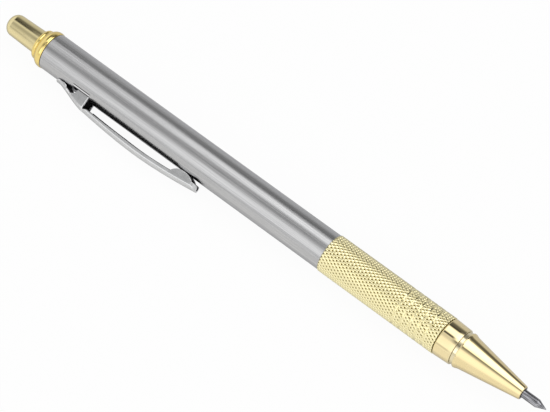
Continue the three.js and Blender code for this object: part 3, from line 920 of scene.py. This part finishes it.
def ground_carbide():
    """Dark sintered metal, ground along the rod and round its cone, with fine pores."""
    made, g = material("ground_carbide")
    along = g.noise((0.15, 7, 7), detail=3, roughness=0.7)
    pores = g.limit(g.noise((22, 22, 22), detail=2), 0.62, 0.7)
    broad = g.noise((0.4, 2, 2), detail=2)
    shade = g.limit(0.6 * along + 0.4 * broad, 0.4, 0.6)
    colour = g.blend(pores, g.blend(shade, (0.12, 0.12, 0.13), (0.50, 0.50, 0.53)), (0.05, 0.05, 0.05))
    g.metal(
        colour, 0.10 + 0.10 * along + 0.2 * pores,
        bump=along, bump_strength=0.2, bump_depth=0.01,
    )
    return made


def turned_metal(name, dark, light, roughness):
    """A plain turned inner piece with its tool marks and a little oil."""
    made, g = material(name)
    marks = g.noise((11, 0.2, 0.2), detail=3)
    oil = g.noise((0.5, 0.8, 0.8), detail=3)
    colour = g.blend(0.5 * marks + 0.5 * oil, dark, light)
    g.metal(
        colour, roughness - 0.12 * oil + 0.12 * marks,
        bump=marks, bump_strength=0.2, bump_depth=0.01,
    )
    return made


def drawn_wire():
    """Spring wire, dark from its heat treatment, with drawing lines."""
    made, g = material("drawn_wire")
    lines = g.noise((3, 12, 12), detail=2)
    bloom = g.noise((0.8, 0.8, 0.8), detail=2)
    colour = g.blend(bloom, (0.34, 0.34, 0.36), (0.52, 0.50, 0.47))
    g.metal(colour, 0.26 + 0.14 * lines, bump=lines, bump_strength=0.15, bump_depth=0.005)
    return made


def clip_shaded_inside():
    """The strip's inner face, painted nearly black as the shade it lies in against the barrel."""
    made, g = material("clip_shaded_inside")
    patches = g.noise((0.5, 1.5, 1.5), detail=3)
    # Painted shade: near black, as the face sees only the barrel's dark side
    colour = g.blend(patches, (0.03, 0.03, 0.032), (0.08, 0.08, 0.083))
    g.metal(colour, 0.3 + 0.12 * patches, bump=patches, bump_strength=0.1, bump_depth=0.005)
    return made


def clip_cut_highlight():
    """The sheet's sheared edges and the ears' front rims: bare steel, painted brighter as a highlight, with
    fine marks across them.
    """
    made, g = material("clip_cut_highlight")
    marks = g.noise((12, 12, 12), detail=2)
    # Painted highlight: near white, brighter than bare sheared steel, standing in for lit edges
    colour = g.blend(marks, (0.80, 0.80, 0.81), (0.95, 0.95, 0.96))
    g.metal(colour, 0.42 + 0.1 * marks, bump=marks, bump_strength=0.1, bump_depth=0.005)
    return made


gold_button = polished_gold("button_gold", (0.87, 0.76, 0.44), (0.83, 0.71, 0.38), 0.06, 0.04)
gold_collar = polished_gold("collar_gold", (0.95, 0.76, 0.30), (0.91, 0.70, 0.24), 0.04, 0.03)
gold_nose = polished_gold("nose_gold", (0.93, 0.78, 0.45), (0.89, 0.735, 0.40), 0.015, 0.02, mouth=True)

push_button(gold_button)
rear_collar(gold_collar)
barrel(brushed_steel())
spring_clip(chrome(), clip_shaded_inside(), clip_cut_highlight())
knurled_grip(knurled_gold())
nose_cone(gold_nose)
carbide_point(ground_carbide())

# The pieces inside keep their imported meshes
INNER_SHARP = 35  # degrees

inner_steel = turned_metal("inner_steel", (0.42, 0.43, 0.44), (0.62, 0.63, 0.64), 0.34)
inner_brass = turned_metal("inner_brass", (0.58, 0.44, 0.18), (0.80, 0.66, 0.34), 0.34)
INNER_LOOKS = {
    "joining_bush": inner_brass,
    "inner_tube": inner_steel,
    "spring_collar": inner_brass,
    "return_spring": drawn_wire(),
    "collet_seat": inner_steel,
    "collet": inner_brass,
}
for node_name, look in INNER_LOOKS.items():
    node = frame["nodes"][node_name]
    node.material_slots[0].material = look
    node.data.shade_smooth()
    node.data.set_sharp_from_angle(angle=math.radians(INNER_SHARP))


# Studio

FLOOR_HALF_M = 1.5
FLOOR_SEEN = (0.8, 0.8, 0.8)
FLOOR_SHADE_BEHIND = (0.62, 0.62, 0.63)
FLOOR_IN_FRONT = (0.92, 0.915, 0.90)
FLOOR_SWEEP = 2.4, 9.0  # millimetres in front of the footprint's middle, where the painted shade near and behind the pen turns into the lit front
WHITE_TO_EYES = 0.95  # share of plain white in what is seen. The rest keeps the shadow.
WHITE_TO_MIRRORS = 0.5


def floor():
    """A plain pale floor, with painted shade near and behind the pen. Eyes see it partly as white that no
    shadow darkens, mirrors and glass partly as a glow that carries the painted shade.
    """
    h = FLOOR_HALF_M
    mesh = bpy.data.meshes.new("studio_floor")
    mesh.from_pydata([(-h, -h, 0), (h, -h, 0), (h, h, 0), (-h, h, 0)], [], [[0, 1, 2, 3]])
    made, g = material("floor_paper")
    seen, glossy, transmitted = (
        g.node("ShaderNodeLightPath", output=kind)
        for kind in ("Is Camera Ray", "Is Glossy Ray", "Is Transmission Ray")
    )
    place = g.node("ShaderNodeTexCoord", output="Object")
    forward = 0 - g.node("ShaderNodeSeparateXYZ", None, {0: place}, output=1) / MM
    # Painted shade: darker near and behind the pen, as if the front light were blocked there
    shade_sweep = g.blend(g.limit(forward, *FLOOR_SWEEP), FLOOR_SHADE_BEHIND, FLOOR_IN_FRONT)
    paper = g.node(
        "ShaderNodeBsdfPrincipled", None,
        {"Base Color": g.blend(seen, shade_sweep, FLOOR_SEEN), "Roughness": 0.9, "Specular IOR Level": 0.0},
    )
    white = g.node(
        "ShaderNodeEmission", None, {"Color": g.blend(seen, shade_sweep, (1.0, 1.0, 1.0)), "Strength": 1.0},
    )
    share = WHITE_TO_EYES * seen + WHITE_TO_MIRRORS * (glossy + transmitted)
    surface = g.node("ShaderNodeMixShader", None, {0: share, 1: paper, 2: white})
    g.node("ShaderNodeOutputMaterial", None, {"Surface": surface})
    mesh.materials.append(made)
    made_floor = bpy.data.objects.new("studio_floor", mesh)
    bpy.context.scene.collection.objects.link(made_floor)


# Brightness of the studio round the pen's length, by degrees from overhead toward -Y, in four places
# along it: over the point, the grip and the barrel, and beyond the button, where the soft box ends.
# Each is set so that the pen mirrors it in the photograph's bands.
OVER_POINT = (
    (-180, 0.5), (-88, 0.45), (-82, 0.18), (-70, 0.10), (-62, 0.18), (-54, 0.6), (-47, 1.9), (-34, 2.1),
    (-14, 2.0), (-4, 1.65), (3, 1.25), (7, 0.25), (12, 0.28), (21, 0.62), (29, 1.15), (40, 1.28),
    (60, 1.27), (70, 1.2), (82, 0.95), (180, 0.8),
)
OVER_GRIP = (
    (-180, 0.5), (-88, 0.58), (-84, 0.45), (-78, 0.25), (-72, 0.14), (-60, 0.11), (-54, 0.05), (-49, 0.1),
    (-43, 1.2), (-38, 1.55), (-14, 1.5), (-9, 1.0), (-5, 0.08), (1, 0.1), (6, 0.85), (12, 0.74),
    (20, 0.82), (30, 1.1), (68, 1.2), (77, 0.66), (86, 0.98), (180, 0.8),
)
OVER_BARREL = (
    (-180, 0.45), (-88, 0.52), (-78, 0.38), (-66, 0.27), (-56, 0.26), (-47, 0.42), (-37, 1.6), (-16, 1.75),
    (-7, 0.95), (2, 0.5), (10, 0.3), (20, 0.26), (35, 1.05), (46, 1.62), (66, 1.75), (76, 0.75), (84, 0.85),
    (180, 0.8),
)
BEYOND_BUTTON = (
    (-180, 0.6), (-86, 0.6), (-74, 0.52), (-60, 0.2), (-46, 0.12), (-28, 0.04), (-22, 0.08), (-8, 0.84),
    (4, 0.6), (14, 0.48), (24, 0.5), (48, 0.72), (66, 0.54), (78, 0.85), (180, 0.85),
)
# Where, by the lengthwise part of a direction, one table gives way to the next
BUTTON_TO_BARREL = -0.45, -0.36
BARREL_TO_GRIP = -0.30, -0.275
GRIP_TO_POINT = -0.10, -0.03
ENDS = 0.4, 0.55  # the square of that part at which the walls in line with the pen take over
ENDS_LEVEL = 0.9
STUDIO_STRENGTH = 2.0  # the tables are divided by it, which brings a ramp's colours to about 1


def studio():
    """The room: a soft box overhead, dark gaps behind it and in front of it, and a pale front wall."""
    world = bpy.data.worlds.new("studio")
    bpy.context.scene.world = world
    g = Graph(world)
    direction = g.node("ShaderNodeTexCoord", output="Generated")
    along, back, up = (
        g.node("ShaderNodeSeparateXYZ", None, {0: direction}, output=k) for k in (0, 1, 2)
    )
    angle = g.node("ShaderNodeMath", {"operation": "ARCTAN2"}, {0: 0 - back, 1: up})
    turn = angle / (2 * math.pi) + 0.5
    point, grip, over_barrel, button = (
        g.ramp(turn, *((degrees / 360 + 0.5, bright / STUDIO_STRENGTH) for degrees, bright in table))
        for table in (OVER_POINT, OVER_GRIP, OVER_BARREL, BEYOND_BUTTON)
    )
    level = g.blend(g.limit(along, *BUTTON_TO_BARREL), button, over_barrel)
    level = g.blend(g.limit(along, *BARREL_TO_GRIP), level, grip)
    level = g.blend(g.limit(along, *GRIP_TO_POINT), level, point)
    level = g.blend(g.limit(along * along, *ENDS), level, (ENDS_LEVEL / STUDIO_STRENGTH,) * 3)
    room = g.node("ShaderNodeBackground", None, {"Color": level, "Strength": STUDIO_STRENGTH})
    white = g.node("ShaderNodeBackground", None, {"Color": (1, 1, 1, 1), "Strength": 1.0})
    seen = g.node("ShaderNodeLightPath", output="Is Camera Ray")
    mixed = g.node("ShaderNodeMixShader", None, {0: seen, 1: room, 2: white})
    g.node("ShaderNodeOutputWorld", None, {"Surface": mixed})


# Camera, solved from the photograph's straight edges and rings

PHOTO_WIDTH = 550  # pixels
VIEW_DISTANCE = 550
PIXELS_PER_MM = 4.988  # at the picture's centre
CENTRE_STATION = 70.95
AXIS_BELOW_CENTRE = 5.7  # pixels from the picture's centre to the pen's axis, square to the pen
VIEW_ROUND = clip_angle - math.pi / 2  # of the camera round the pen's axis: square to the clip's side
VIEW_TILT = math.radians(18.5)  # of the pen's point toward the camera
PICTURE_SLOPE = math.radians(35.916)  # of the pen in the picture, below horizontal
SENSOR_WIDTH = 36


def camera():
    """A camera square to the clip's side, tilted toward the point and turned to the picture's slope."""
    toward = Vector((0, -math.sin(VIEW_ROUND), math.cos(VIEW_ROUND)))
    beside = Vector((0, -math.cos(VIEW_ROUND), -math.sin(VIEW_ROUND)))
    along = Vector((1, 0, 0))
    back = toward * math.cos(VIEW_TILT) + along * math.sin(VIEW_TILT)
    pen_way = along * math.cos(VIEW_TILT) - toward * math.sin(VIEW_TILT)
    right = pen_way * math.cos(PICTURE_SLOPE) - beside * math.sin(PICTURE_SLOPE)
    up = -(pen_way * math.sin(PICTURE_SLOPE) + beside * math.cos(PICTURE_SLOPE))
    target = Vector((pen_end + CENTRE_STATION * MM, pen_axis.y, pen_axis.z))
    target -= beside * (AXIS_BELOW_CENTRE / PIXELS_PER_MM * MM)
    place = target + back * (VIEW_DISTANCE * MM)
    data = bpy.data.cameras.new("camera")
    data.sensor_width = SENSOR_WIDTH
    data.lens = SENSOR_WIDTH * PIXELS_PER_MM * VIEW_DISTANCE / PHOTO_WIDTH
    data.clip_start = 0.01
    data.clip_end = 20
    made = bpy.data.objects.new("camera", data)
    bpy.context.scene.collection.objects.link(made)
    turn = Matrix((right, up, back)).transposed()
    made.matrix_world = Matrix.Translation(place) @ turn.to_4x4()
    bpy.context.scene.camera = made


floor()
studio()
camera()
bpy.context.scene.view_settings.view_transform = "Standard"
